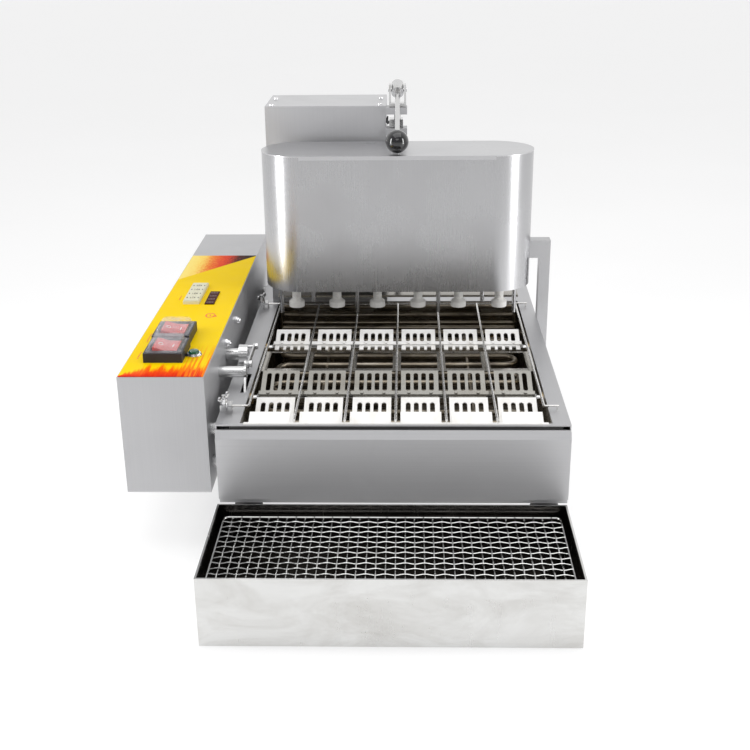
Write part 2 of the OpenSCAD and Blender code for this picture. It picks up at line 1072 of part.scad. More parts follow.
// Outside the body's right wall, holding up the hopper's right end
module hopper_bracket() {
    color("silver")
    place()
    difference() {
        union() {
            block([body_right, 395, -60], [bracket_x1, 415, 118]);
            block([186, 395, 92], [body_right + 1, 415, 118]);
        }
        translate([0, hopper_y, 80])
            linear_extrude(50)
                stadium_2d(hopper_half, hopper_r);
        block([body_right + 1.8, 396.8, -62], [bracket_x1 - 1.8, 413.2, 90]);
    }
}

// ---------------------------------------------------------------- dosing box

module drive_box() {
    color("silver")
    place() {
        difference() {
            block([drive_x0, drive_y0, 0], [drive_x1, drive_y1, drive_top - sheet]);
            block([drive_x0 + sheet, drive_y0 + sheet, -1],
                  [drive_x1 - sheet, drive_y1 - sheet, drive_top]);
            bar_x(-25, -10, rod_y, crank_z, 6.6);
            for (z = [60:16:140])
                translate([-106, drive_y1 + 3, z])
                    rotate([90, 0, 0])
                        linear_extrude(10)
                            slot_2d(80, 5);
        }
        guide_block(257, 267);
        guide_block(287, 297);
    }
}

// A bored block on the box's side that guides the lift rod
module guide_block(z0, z1) {
    difference() {
        block([drive_x1 - 0.2, rod_y - 12, z0], [14, rod_y + 12, z1]);
        translate([0, rod_y, z0 - 1])
            cylinder(r = rod_r + fit, h = z1 - z0 + 2);
    }
}

module drive_box_cover() {
    color("gainsboro")
    place()
    difference() {
        block([drive_x0, drive_y0, drive_top - sheet], [drive_x1, drive_y1, drive_top]);
        cover_screw_places()
            translate([0, 0, -5])
                cylinder(r = 2.02, h = 10);
    }
}

module cover_screw_places() {
    for (x = [drive_x0 + 9, drive_x1 - 9])
        for (y = [drive_y0 + 9, drive_y1 - 40])
            translate([x, y, drive_top])
                children();
}

module cover_screws() {
    color("silver")
    place()
    cover_screw_places() {
        difference() {
            cylinder(r1 = 4, r2 = 3.4, h = 2.2);
            translate([0, 0, 2.2])
                cube([5, 0.9, 1.4], center = true);
        }
        translate([0, 0, -6])
            cylinder(r = 2, h = 6.5);
    }
}

// The crank that raises the lift rod through its yoke
module dosing_crank() {
    color("dimgray")
    place() {
        bar_x(-70, -14.5, rod_y, crank_z, 4);
        bar_x(-15.6, -13.6, rod_y, crank_z, 6);
        bar_x(-14, -6, rod_y, crank_z - crank_throw, 2);
    }
}

// The hand lever: its boss on the clevis pin and the rod to the knob
module lever() {
    color("lightgray")
    place()
    translate([0, rod_y, lever_z])
        rotate([90 + lever_down, 0, 0])
            difference() {
                union() {
                    translate([0, 0, -14])
                        cylinder(r = 9, h = 22);
                    translate([0, 0, 7])
                        cylinder(r = 3.5, h = lever_len - 7 - 12);
                }
                rotate([0, 90, 0])
                    cylinder(r = 3 + fit, h = 30, center = true);
            }
}

module ball_knob() {
    color("black")
    place()
    translate([0, rod_y, lever_z])
        rotate([90 + lever_down, 0, 0])
            translate([0, 0, lever_len])
                difference() {
                    union() {
                        sphere(r = knob_r);
                        translate([0, 0, -knob_r - 1])
                            cylinder(r = 6, h = 6);
                    }
                    translate([0, 0, -knob_r - 5])
                        cylinder(r = 3.5, h = 9);
                }
}

// ---------------------------------------------------------------------- tray

module tray() {
    t = 1.2;
    color("silver")
    place() {
        difference() {
            block([tray_x0, tray_y0, tray_low], [tray_x1, -3, tray_rim]);
            block([tray_x0 + t, tray_y0 + t, tray_low + t], [tray_x1 - t, -3 - t, tray_rim + 1]);
        }
        difference() {
            block([tray_x0, tray_y0, tray_rim - 5], [tray_x1, -3, tray_rim]);
            block([tray_x0 + 2.2, tray_y0 + 2.2, tray_rim - 6], [tray_x1 - 2.2, -5.2, tray_rim + 1]);
        }
        mesh_step(tray_y0 + t + 0.05, tray_y0 + t + 5, t);
        mesh_step(-3 - t - 6, -3 - t - 6, t);
    }
}

// A folded strip, spot-welded along the tray's front or back, that carries the mesh
module mesh_step(y, web, t) {
    block([tray_x0 + 20, y, mesh_z - 5], [tray_x1 - 20, y + 5.95, mesh_z - 3.3]);
    block([tray_x0 + 20, web, tray_low + t + 0.05], [tray_x1 - 20, web + t, mesh_z - 4]);
}

// The flat wire grid that the rings drain on
module tray_mesh() {
    x0 = tray_x0 + 7;
    x1 = tray_x1 - 7;
    y0 = tray_y0 + 7;
    y1 = -10;
    nx = 18;
    ny = 6;
    rim = 3;
    wire = 1.6;
    px = (x1 - x0 - 2 * rim + wire) / nx;
    py = (y1 - y0 - 2 * rim + wire) / ny;
    color("lightgray")
    place()
    translate([0, 0, mesh_z - 3])
        linear_extrude(3)
            difference() {
                translate([x0, y0])
                    square([x1 - x0, y1 - y0]);
                for (i = [0:nx - 1])
                    for (j = [0:ny - 1])
                        translate([x0 + rim + i * px, y0 + rim + j * py])
                            square([px - wire, py - wire]);
            }
}

body_shell();
bottom_covers();
front_panel();
top_frame();
oil_tank();
feet();
heater_element();
heater_supports();
thermostat_probe();
lane_wire_rack();
rack_clips();
wing_nut_front();
wing_nut_rear();
lane_grid();
discharge_lips();
shaft_bearings();
rear_shaft();
rear_blades();
middle_shaft();
middle_blades();
discharge_shaft();
discharge_blades();
coupling_rod();
rocker_shaft();
link_plate();
drive_shaft();
gearmotors();
box_spacers();
control_box_shell();
control_panel();
timer_housing();
thumbwheel_1();
thumbwheel_2();
thumbwheel_3();
thumbwheel_4();
display_window();
switch_bases();
front_rocker();
rear_rocker();
switch_covers();
button_bezel();
start_button();
acorn_nuts();
cable_gland();
control_board();
hopper();
hopper_lid();
plug_stems();
cutter_sleeves();
lift_plate();
lift_rod();
hopper_bracket();
drive_box();
drive_box_cover();
cover_screws();
dosing_crank();
lever();
ball_knob();
tray();
tray_mesh();
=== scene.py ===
"""Looks for the automatic ring doughnut fryer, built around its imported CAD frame."""

import math

import bmesh
import bpy
from mathutils import Matrix, Vector


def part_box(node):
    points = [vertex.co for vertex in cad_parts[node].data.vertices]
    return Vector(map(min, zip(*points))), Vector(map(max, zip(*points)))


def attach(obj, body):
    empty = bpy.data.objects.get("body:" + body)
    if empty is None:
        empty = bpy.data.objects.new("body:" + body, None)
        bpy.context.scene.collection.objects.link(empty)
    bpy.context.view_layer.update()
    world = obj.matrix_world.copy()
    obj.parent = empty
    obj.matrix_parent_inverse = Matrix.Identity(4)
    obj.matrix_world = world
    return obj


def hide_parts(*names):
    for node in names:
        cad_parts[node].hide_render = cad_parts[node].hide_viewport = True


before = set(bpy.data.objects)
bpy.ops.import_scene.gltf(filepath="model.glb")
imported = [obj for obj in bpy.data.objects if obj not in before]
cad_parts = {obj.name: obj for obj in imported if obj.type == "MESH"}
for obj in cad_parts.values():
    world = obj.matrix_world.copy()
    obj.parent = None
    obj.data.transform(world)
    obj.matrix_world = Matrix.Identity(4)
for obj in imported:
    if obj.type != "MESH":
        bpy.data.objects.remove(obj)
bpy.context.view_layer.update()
MM = 0.001

# Design axes, as in the CAD source: x from the middle of the lanes, y from the front panel,
# z from the flange's top
tank_low, tank_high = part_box("oil_tank")
panel_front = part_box("front_panel")[0].y
flange_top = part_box("top_frame")[1].z
ORIGIN = Vector(((tank_low.x + tank_high.x) / 2, panel_front, flange_top))


def at(x, y, z):
    """A point given in the design axes, in millimetres."""
    return ORIGIN + Vector((x, y, z)) * MM


# ------------------------------------------------------------------ camera

PITCH = math.radians(21.75)
YAW = math.radians(-1.66)
ROLL = math.radians(-0.62)


def make_camera():
    """The photograph's view: from the front, a little above, with a moderate lens."""
    forward = Vector((math.sin(YAW) * math.cos(PITCH), math.cos(YAW) * math.cos(PITCH), -math.sin(PITCH)))
    right = Vector((math.cos(YAW), -math.sin(YAW), 0))
    up = right.cross(forward)
    rolled_right = right * math.cos(ROLL) + up * math.sin(ROLL)
    rolled_up = up * math.cos(ROLL) - right * math.sin(ROLL)
    data = bpy.data.cameras.new("camera")
    data.lens = 55.2
    data.sensor_width = 36
    data.clip_start = 0.05
    camera = bpy.data.objects.new("camera", data)
    bpy.context.scene.collection.objects.link(camera)
    turn = Matrix((rolled_right, rolled_up, -forward)).transposed()
    camera.matrix_world = Matrix.Translation(at(12.25, -1228.5, 556.5)) @ turn.to_4x4()
    bpy.context.scene.camera = camera


# --------------------------------------------------------------- materials

class Nodes:
    """A material's node tree with short calls for the nodes used here."""

    def __init__(self, name):
        self.material = bpy.data.materials.new(name)
        self.material.use_nodes = True
        self.tree = self.material.node_tree
        self.shader = self.tree.nodes["Principled BSDF"]

    def new(self, kind, **settings):
        node = self.tree.nodes.new(kind)
        for key, value in settings.items():
            setattr(node, key, value)
        return node

    def put(self, socket, value):
        """Link a node's output to a socket, or set a constant on it."""
        if isinstance(value, bpy.types.NodeSocket):
            self.tree.links.new(value, socket)
        else:
            socket.default_value = value

    def set(self, **values):
        """Put values on the shader's own sockets, named with underscores for spaces."""
        for key, value in values.items():
            self.put(self.shader.inputs[key.replace("_", " ")], value)

    def coords(self, scale=(1, 1, 1), turn=(0, 0, 0)):
        """The object's own coordinates in metres, scaled and turned."""
        source = self.new("ShaderNodeTexCoord").outputs["Object"]
        mapping = self.new("ShaderNodeMapping")
        mapping.inputs["Scale"].default_value = scale
        mapping.inputs["Rotation"].default_value = turn
        self.put(mapping.inputs["Vector"], source)
        return mapping.outputs["Vector"]

    def noise(self, vector, scale, detail=4, roughness=0.55, distortion=0):
        node = self.new("ShaderNodeTexNoise")
        self.put(node.inputs["Vector"], vector)
        node.inputs["Scale"].default_value = scale
        node.inputs["Detail"].default_value = detail
        node.inputs["Roughness"].default_value = roughness
        node.inputs["Distortion"].default_value = distortion
        return node.outputs["Fac"]

    def ramp(self, factor, stops):
        """A colour from (place, (red, green, blue)) stops."""
        node = self.new("ShaderNodeValToRGB")
        self.put(node.inputs["Fac"], factor)
        elements = node.color_ramp.elements
        while len(elements) < len(stops):
            elements.new(0.5)
        for element, (place, color) in zip(elements, stops):
            element.position = place
            element.color = (*color, 1)
        return node.outputs["Color"]

    def math(self, operation, a, b=None, clamp=False):
        node = self.new("ShaderNodeMath", operation=operation, use_clamp=clamp)
        self.put(node.inputs[0], a)
        if b is not None:
            self.put(node.inputs[1], b)
        return node.outputs["Value"]

    def span(self, value, low, high, to_low=0.0, to_high=1.0):
        """A value's place between low and high, mapped to to_low..to_high."""
        node = self.new("ShaderNodeMapRange")
        self.put(node.inputs["Value"], value)
        node.inputs["From Min"].default_value = low
        node.inputs["From Max"].default_value = high
        node.inputs["To Min"].default_value = to_low
        node.inputs["To Max"].default_value = to_high
        return node.outputs["Result"]

    def mix(self, factor, a, b, blend="MIX"):
        node = self.new("ShaderNodeMix", data_type="RGBA", blend_type=blend)
        self.put(node.inputs["Factor"], factor)
        self.put(node.inputs["A"], (*a, 1) if isinstance(a, tuple) else a)
        self.put(node.inputs["B"], (*b, 1) if isinstance(b, tuple) else b)
        return node.outputs["Result"]

    def bump(self, height, strength, distance):
        node = self.new("ShaderNodeBump")
        node.inputs["Strength"].default_value = strength
        node.inputs["Distance"].default_value = distance
        self.put(node.inputs["Height"], height)
        return node.outputs["Normal"]

    def edges(self, radius):
        """1 along sharp edges and 0 on flat stretches."""
        bevel = self.new("ShaderNodeBevel", samples=3)
        bevel.inputs["Radius"].default_value = radius
        true = self.new("ShaderNodeNewGeometry").outputs["Normal"]
        dot = self.new("ShaderNodeVectorMath", operation="DOT_PRODUCT")
        self.put(dot.inputs[0], bevel.outputs["Normal"])
        self.put(dot.inputs[1], true)
        return self.span(dot.outputs["Value"], 0.98, 0.80)


def brushed(name, color, rough, grain=(3, 900, 900), stain=0.10, bump=0.02, metallic=1.0, tint=None):
    """Brushed sheet: fine lines along the grain, finger smears and a slow unevenness."""
    n = Nodes(name)
    lines = n.noise(n.coords(grain), 1.0, detail=6, roughness=0.7)
    smear = n.noise(n.coords((5, 5, 5)), 2.2, detail=5, roughness=0.6, distortion=0.4)
    light = tuple(min(1, c * 1.03) for c in color)
    dark = tuple(c * 0.96 for c in color)
    base = n.mix(n.span(lines, 0.3, 0.7), dark, light)
    soiled = tint or tuple(c * (1 - stain * 2) for c in color)
    base = n.mix(n.span(smear, 0.52, 0.8, 0, 0.55), base, soiled)
    roughness = n.math("ADD", n.span(lines, 0.25, 0.75, rough - 0.03, rough + 0.03),
                       n.span(smear, 0.35, 0.75, -0.02, 0.06))
    n.set(Base_Color=base, Metallic=metallic, Roughness=roughness, Normal=n.bump(lines, bump, 0.0001))
    return n.material


def polished(name, color, rough=0.12, stain=(0.30, 0.27, 0.22), grime=0.3):
    """Turned or plated metal: faint turning lines with a little grime in patches."""
    n = Nodes(name)
    fine = n.noise(n.coords((400, 400, 400)), 1.0, detail=3)
    patch = n.noise(n.coords((40, 40, 40)), 1.0, detail=5, distortion=0.5)
    base = n.mix(n.span(patch, 0.55, 0.8, 0, grime), color, stain)
    roughness = n.math("ADD", n.span(fine, 0.3, 0.7, rough - 0.03, rough + 0.05), n.span(patch, 0.5, 0.8, 0, 0.18))
    n.set(Base_Color=base, Metallic=1.0, Roughness=roughness, Normal=n.bump(fine, 0.02, 0.0001))
    return n.material


def moulded(name, color, rough, grain=1800, bump=0.08, coat=0.0, specular=0.5, worn=None):
    """Plastic, rubber or enamel: a fine grain, dust in patches and rubbed edges."""
    n = Nodes(name)
    fine = n.noise(n.coords(), grain, detail=3)
    patch = n.noise(n.coords(), 28, detail=5, distortion=0.3)
    lighter = tuple(min(1, c * 1.15 + 0.012) for c in color)
    base = n.mix(n.span(patch, 0.35, 0.75), color, lighter)
    if worn:
        base = n.mix(n.math("MULTIPLY", n.edges(0.0009), n.span(patch, 0.35, 0.6, 0.25, 0.9)), base, worn)
    roughness = n.math("ADD", n.span(fine, 0.3, 0.7, rough - 0.04, rough + 0.05), n.span(patch, 0.5, 0.8, 0, 0.1))
    n.set(Base_Color=base, Roughness=roughness, Coat_Weight=coat, Specular_IOR_Level=specular,
          Normal=n.bump(fine, bump, 0.0002))
    return n.material


def clear_plastic(name):
    """Thin clear rubber: mostly see-through, hazier where it is scuffed."""
    n = Nodes(name)
    haze = n.noise(n.coords(), 60, detail=5)
    base = n.mix(n.span(haze, 0.4, 0.7), (0.86, 0.86, 0.89), (0.60, 0.60, 0.64))
    n.set(Base_Color=base, Roughness=n.span(haze, 0.3, 0.7, 0.08, 0.20), Coat_Weight=0.5,
          Alpha=n.span(haze, 0.3, 0.75, 0.05, 0.26), Normal=n.bump(haze, 0.05, 0.0006))
    return n.material


def plastic_with_painted_glow(name, color, glow, strength):
    """Moulded plastic with a painted glow: it gives faint light of its own in its own colour."""
    n = Nodes(name)
    cloud = n.noise(n.coords(), 160, detail=4)
    base = n.mix(n.span(cloud, 0.35, 0.7), color, tuple(c * 0.6 for c in color))
    n.set(Base_Color=base, Roughness=n.span(cloud, 0.3, 0.7, 0.10, 0.22), Coat_Weight=0.6,
          Emission_Color=(*glow, 1), Emission_Strength=strength, Normal=n.bump(cloud, 0.06, 0.0004))
    return n.material


def printed_panel(name):
    """Yellow film with flames along its front edge and a glowing wedge at its back."""
    low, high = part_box("control_panel")
    n = Nodes(name)
    plain = n.coords()
    split = n.new("ShaderNodeSeparateXYZ")
    n.put(split.inputs[0], plain)
    across = n.span(split.outputs["X"], low.x, high.x)
    along = n.math("SUBTRACT", split.outputs["Y"], low.y)
    yellow = n.mix(n.span(n.noise(plain, 9, detail=3), 0.35, 0.65), (0.82, 0.56, 0.001), (0.85, 0.59, 0.002))

    # Flames: thin streaks that run back from a red front edge, low at the left and long at the right
    streak = n.noise(n.coords((330, 5, 1), (0, 0, math.radians(2))), 1.0, detail=3, roughness=0.6)
    ragged = n.noise(n.coords((150, 30, 1)), 1.0, detail=4, roughness=0.7)
    height = n.math("DIVIDE", along, n.span(across, 0, 0.30, 0.004, 0.042))
    flame = n.math("ADD", height, n.span(ragged, 0.3, 0.7, -0.22, 0.22))
    flames = n.ramp(flame, [(0.0, (0.62, 0.020, 0.002)), (0.25, (0.74, 0.05, 0.002)), (0.50, (0.80, 0.12, 0.002)),
                            (0.85, (0.84, 0.28, 0.003))])
    solid = n.math("ADD", n.span(flame, 0.75, 0.35), n.span(streak, 0.44, 0.56), clamp=True)
    burnt = n.math("MULTIPLY", n.span(flame, 1.0, 0.75), solid)
    color = n.mix(burnt, yellow, flames)
    fade = n.math("MULTIPLY", n.span(across, 0.60, 0.84), n.span(along, 0.112, 0.05))
    color = n.mix(n.math("MULTIPLY", n.span(streak, 0.50, 0.55, 0, 0.95), fade), color, (0.84, 0.20, 0.004))

    # Wedge: pale at its left, then orange and red with a mottled print, black at its right end
    speckle = n.noise(plain, 330, detail=5, roughness=0.85)
    shade = n.math("ADD", across, n.span(speckle, 0.3, 0.7, -0.16, 0.16))
    wedge = n.ramp(shade, [(0.05, (0.90, 0.72, 0.20)), (0.22, (0.90, 0.62, 0.12)), (0.32, (0.82, 0.24, 0.03)),
                           (0.5, (0.72, 0.05, 0.01)), (0.62, (0.60, 0.04, 0.01)), (0.72, (0.06, 0.008, 0.004)),
                           (0.95, (0.004, 0.003, 0.003))])
    start = high.y - low.y - 0.1315
    edge = n.math("SUBTRACT", along, n.span(across, 0, 1, start, start + 0.1285))
    color = n.mix(n.span(edge, -0.0004, 0.0004), color, wedge)

    film = n.noise(plain, 900, detail=3)
    smear = n.noise(plain, 24, detail=5, distortion=0.4)
    roughness = n.math("ADD", n.span(film, 0.3, 0.7, 0.36, 0.44), n.span(smear, 0.4, 0.75, 0, 0.12))
    n.set(Base_Color=color, Roughness=roughness, Specular_IOR_Level=0.03, Normal=n.bump(film, 0.05, 0.0002))
    return n.material


def tank_steel(name):
    """Deep-drawn tank stained brown by hot oil, darker towards the bottom."""
    n = Nodes(name)
    split = n.new("ShaderNodeSeparateXYZ")
    n.put(split.inputs[0], n.coords())
    depth = n.span(split.outputs["Z"], tank_low.z, tank_high.z)
    film = n.noise(n.coords((14, 14, 30)), 1.0, detail=6, distortion=0.8)
    lines = n.noise(n.coords((8, 700, 700)), 1.0, detail=5)
    level = n.math("ADD", depth, n.span(film, 0.3, 0.7, -0.25, 0.25))
    base = n.ramp(level, [(0.0, (0.10, 0.085, 0.065)), (0.45, (0.22, 0.19, 0.145)), (0.8, (0.36, 0.33, 0.27)),
                          (1.0, (0.52, 0.50, 0.46))])
    roughness = n.math("ADD", n.span(lines, 0.3, 0.7, 0.16, 0.24), n.span(film, 0.4, 0.7, 0, 0.16))
    n.set(Base_Color=base, Metallic=1.0, Roughness=roughness, Normal=n.bump(film, 0.10, 0.002))
    return n.material


def heated_steel(name):
    """Sheathed element with heat-darkened bands and a scaly surface."""
    n = Nodes(name)
    band = n.noise(n.coords((20, 60, 60)), 1.0, detail=5, distortion=0.6)
    scale = n.noise(n.coords(), 700, detail=4, roughness=0.7)
    base = n.ramp(band, [(0.3, (0.14, 0.12, 0.10)), (0.5, (0.30, 0.26, 0.20)), (0.7, (0.42, 0.38, 0.32))])
    n.set(Base_Color=base, Metallic=1.0, Roughness=n.span(scale, 0.3, 0.7, 0.24, 0.42),
          Normal=n.bump(scale, 0.12, 0.0003))
    return n.material


def coated_white(name):
    """White food-safe coating: warm smears where oil runs off, steel at rubbed edges."""
    n = Nodes(name)
    run = n.noise(n.coords((60, 18, 60)), 1.0, detail=5, distortion=0.6)
    fine = n.noise(n.coords(), 1300, detail=3)
    base = n.mix(n.span(run, 0.5, 0.75, 0, 0.5), (0.87, 0.86, 0.84), (0.74, 0.70, 0.62))
    base = n.mix(n.math("MULTIPLY", n.edges(0.0006), n.span(run, 0.4, 0.6, 0.1, 0.6)), base, (0.55, 0.53, 0.50))
    roughness = n.math("ADD", n.span(fine, 0.3, 0.7, 0.26, 0.36), n.span(run, 0.45, 0.7, 0, 0.12))
    n.set(Base_Color=base, Roughness=roughness, Coat_Weight=0.15, Normal=n.bump(fine, 0.05, 0.0002))
    return n.material


def tray_steel(name):
    """Mirror-like outside with rub marks; the inside is darkened with painted shade."""
    low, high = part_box("tray")
    n = Nodes(name)
    place = n.coords()
    split = n.new("ShaderNodeSeparateXYZ")
    n.put(split.inputs[0], place)
    side = 0.0009
    inside = n.math("MULTIPLY",
                    n.math("MULTIPLY", n.math("GREATER_THAN", split.outputs["X"], low.x + side),
                           n.math("LESS_THAN", split.outputs["X"], high.x - side)),
                    n.math("MULTIPLY", n.math("GREATER_THAN", split.outputs["Y"], low.y + side),
                           n.math("LESS_THAN", split.outputs["Y"], high.y - side)))
    painted_shade_inside = n.math("MULTIPLY", inside, n.math("LESS_THAN", split.outputs["Z"], high.z - 0.0003))
    cloud = n.noise(n.coords((9, 9, 22)), 1.0, detail=7, roughness=0.65, distortion=0.7)
    marks = n.noise(n.coords((60, 60, 8), (0, math.radians(24), 0)), 1.0, detail=6, roughness=0.75)
    base = n.mix(n.span(cloud, 0.42, 0.75), (0.72, 0.72, 0.71), (0.56, 0.55, 0.53))
    base = n.mix(n.span(marks, 0.62, 0.74, 0, 0.3), base, (0.80, 0.80, 0.80))
    # Painted shade: this near-black colour fills the inside of the tray below its rim
    film = n.mix(n.span(cloud, 0.35, 0.65), (0.16, 0.15, 0.14), (0.07, 0.065, 0.06))
    base = n.mix(painted_shade_inside, base, film)
    roughness = n.math("ADD", n.span(cloud, 0.3, 0.7, 0.14, 0.26), n.span(marks, 0.5, 0.75, 0, 0.14))
    n.set(Base_Color=base, Metallic=1.0, Roughness=roughness, Normal=n.bump(cloud, 0.03, 0.001))
    return n.material


def circuit_board(name):
    """Green laminate with a pattern of tracks."""
    n = Nodes(name)
    grid = n.new("ShaderNodeTexBrick")
    n.put(grid.inputs["Vector"], n.coords())
    grid.inputs["Scale"].default_value = 160
    grid.inputs["Mortar Size"].default_value = 0.03
    grid.inputs["Color1"].default_value = (0.02, 0.16, 0.06, 1)
    grid.inputs["Color2"].default_value = (0.02, 0.11, 0.05, 1)
    grid.inputs["Mortar"].default_value = (0.08, 0.26, 0.10, 1)
    fine = n.noise(n.coords(), 600)
    n.set(Base_Color=grid.outputs["Color"], Roughness=n.span(fine, 0.3, 0.7, 0.3, 0.45),
          Normal=n.bump(grid.outputs["Fac"], 0.2, 0.0001))
    return n.material


def pale_floor(name):
    """Off-white ground that gives a little light of its own, so that it stays even."""
    n = Nodes(name)
    cloud = n.noise(n.coords(), 1.5, detail=3)
    base = n.mix(n.span(cloud, 0.3, 0.7), (0.48, 0.48, 0.48), (0.52, 0.52, 0.52))
    n.set(Base_Color=base, Roughness=n.span(cloud, 0.3, 0.7, 0.55, 0.65), Specular_IOR_Level=0.2,
          Emission_Color=(1, 1, 1, 1), Emission_Strength=0.50)
    return n.material


# Noise scales that draw the brushing along one axis
SIDEWAYS = (3, 900, 900)
LENGTHWAYS = (900, 3, 900)
UPRIGHT = (900, 900, 3)

MATERIALS = {
    "sheet": brushed("sheet_steel", (0.54, 0.54, 0.55), 0.40, LENGTHWAYS, stain=0.05),
    "box_side": brushed("box_steel", (0.52, 0.52, 0.53), 0.46, UPRIGHT, stain=0.05, metallic=0.65),
    "panel": brushed("front_panel_steel", (0.60, 0.60, 0.61), 0.44, SIDEWAYS, stain=0.04, metallic=0.6),
    "hopper": brushed("hopper_steel", (0.50, 0.50, 0.51), 0.27, UPRIGHT, stain=0.02, bump=0.01),
    "lid": brushed("lid_steel", (0.60, 0.60, 0.61), 0.30, SIDEWAYS, stain=0.04),
    "tray": tray_steel("tray_steel"),
    "tank": tank_steel("tank_steel"),
    "grid": brushed("grid_steel", (0.42, 0.40, 0.36), 0.22, SIDEWAYS, tint=(0.20, 0.17, 0.13)),
    "blade": brushed("blade_steel", (0.42, 0.41, 0.38), 0.20, LENGTHWAYS, tint=(0.20, 0.17, 0.13)),
    "strip": brushed("strip_steel", (0.62, 0.62, 0.62), 0.26, LENGTHWAYS),
    "white_coat": coated_white("white_coating"),
    "turned": polished("turned_steel", (0.70, 0.70, 0.70), 0.16),
    "chrome": polished("chrome_plate", (0.82, 0.82, 0.83), 0.08),
    "wire": polished("bright_wire", (0.80, 0.79, 0.77), 0.22, grime=0.2),
    "mesh": polished("mesh_wire", (0.74, 0.74, 0.73), 0.16, stain=(0.16, 0.15, 0.14), grime=0.5),
    "heater": heated_steel("heated_steel"),
    "bronze": polished("sintered_bronze", (0.60, 0.42, 0.20), 0.28, stain=(0.22, 0.16, 0.08)),
    "rubber": moulded("foot_rubber", (0.018, 0.018, 0.018), 0.62, grain=1200, bump=0.2),
    "black": moulded("black_plastic", (0.022, 0.023, 0.030), 0.42, specular=0.3, worn=(0.10, 0.10, 0.11)),
    "knob": moulded("knob_phenolic", (0.008, 0.008, 0.009), 0.10, bump=0.02, coat=0.6),
    "nylon": moulded("white_nylon", (0.82, 0.81, 0.78), 0.34, bump=0.05, worn=(0.62, 0.58, 0.50)),
    "cream": moulded("cream_plastic", (0.60, 0.58, 0.42), 0.38, worn=(0.50, 0.46, 0.34)),
    "ink": moulded("black_ink", (0.015, 0.015, 0.015), 0.5),
    "red_ink": moulded("red_ink", (0.70, 0.05, 0.01), 0.4),
    "pale_ink": moulded("pale_ink", (0.80, 0.78, 0.74), 0.4),
    "dark_glass": moulded("display_filter", (0.040, 0.003, 0.002), 0.30, bump=0.01, specular=0.02),
    # Painted glow: the display segments, rockers and start button give faint light of their own
    "segment": plastic_with_painted_glow("display_segment", (0.10, 0.008, 0.004), (0.5, 0.02, 0.005), 0.02),
    "rocker": plastic_with_painted_glow("rocker_red", (0.52, 0.008, 0.004), (0.8, 0.02, 0.006), 0.16),
    "green": plastic_with_painted_glow("button_green", (0.0, 0.085, 0.045), (0.0, 0.25, 0.12), 0.05),
    "clear": clear_plastic("clear_cover"),
    "film": printed_panel("printed_film"),
    "enamel": moulded("black_enamel", (0.03, 0.03, 0.033), 0.35, coat=0.3, worn=(0.3, 0.3, 0.3)),
    "board": circuit_board("circuit_board"),
}

NODE_MATERIALS = {
    "sheet": "body_shell bottom_covers top_frame hopper_bracket",
    "box_side": "control_box_shell drive_box",
    "panel": "front_panel",
    "hopper": "hopper",
    "lid": "hopper_lid drive_box_cover",
    "tray": "tray",
    "tank": "oil_tank",
    "grid": "lane_grid lift_plate",
    "blade": "middle_blades",
    "strip": "coupling_rod link_plate rack_clips box_spacers",
    "white_coat": "rear_blades discharge_blades discharge_lips",
    "turned": "rear_shaft middle_shaft discharge_shaft rocker_shaft drive_shaft lift_rod lever",
    "chrome": "wing_nut_front wing_nut_rear acorn_nuts cover_screws button_bezel",
    "wire": "lane_wire_rack",
    "mesh": "tray_mesh",
    "heater": "heater_element heater_supports",
    "bronze": "shaft_bearings thermostat_probe",
    "rubber": "feet",
    "black": "switch_bases cable_gland",
    "knob": "ball_knob",
    "nylon": "cutter_sleeves plug_stems",
    "cream": "timer_housing thumbwheel_1 thumbwheel_2 thumbwheel_3 thumbwheel_4",
    "dark_glass": "display_window",
    "rocker": "front_rocker rear_rocker",
    "clear": "switch_covers",
    "green": "start_button",
    "film": "control_panel",
    "enamel": "gearmotors dosing_crank",
    "board": "control_board",
}

# Sheet-metal and moulded nodes whose edges get a small round, in metres
ROUNDED = {
    0.0009: "control_box_shell drive_box front_panel tray hopper_lid drive_box_cover hopper_bracket",
    0.0006: "switch_bases timer_housing rear_blades discharge_blades discharge_lips front_rocker rear_rocker",
}


def dress_cad_nodes():
    """Give each CAD node its material, and round the edges of the sheet and moulded ones."""
    for key, names in NODE_MATERIALS.items():
        for name in names.split():
            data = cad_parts[name].data
            data.materials.clear()
            data.materials.append(MATERIALS[key])
    for width, names in ROUNDED.items():
        for name in names.split():
            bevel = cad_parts[name].modifiers.new("edge_round", "BEVEL")
            bevel.width = width
            bevel.segments = 2
            bevel.limit_method = "ANGLE"
            bevel.angle_limit = math.radians(40)


# --------------------------------------------------------------- mesh tools

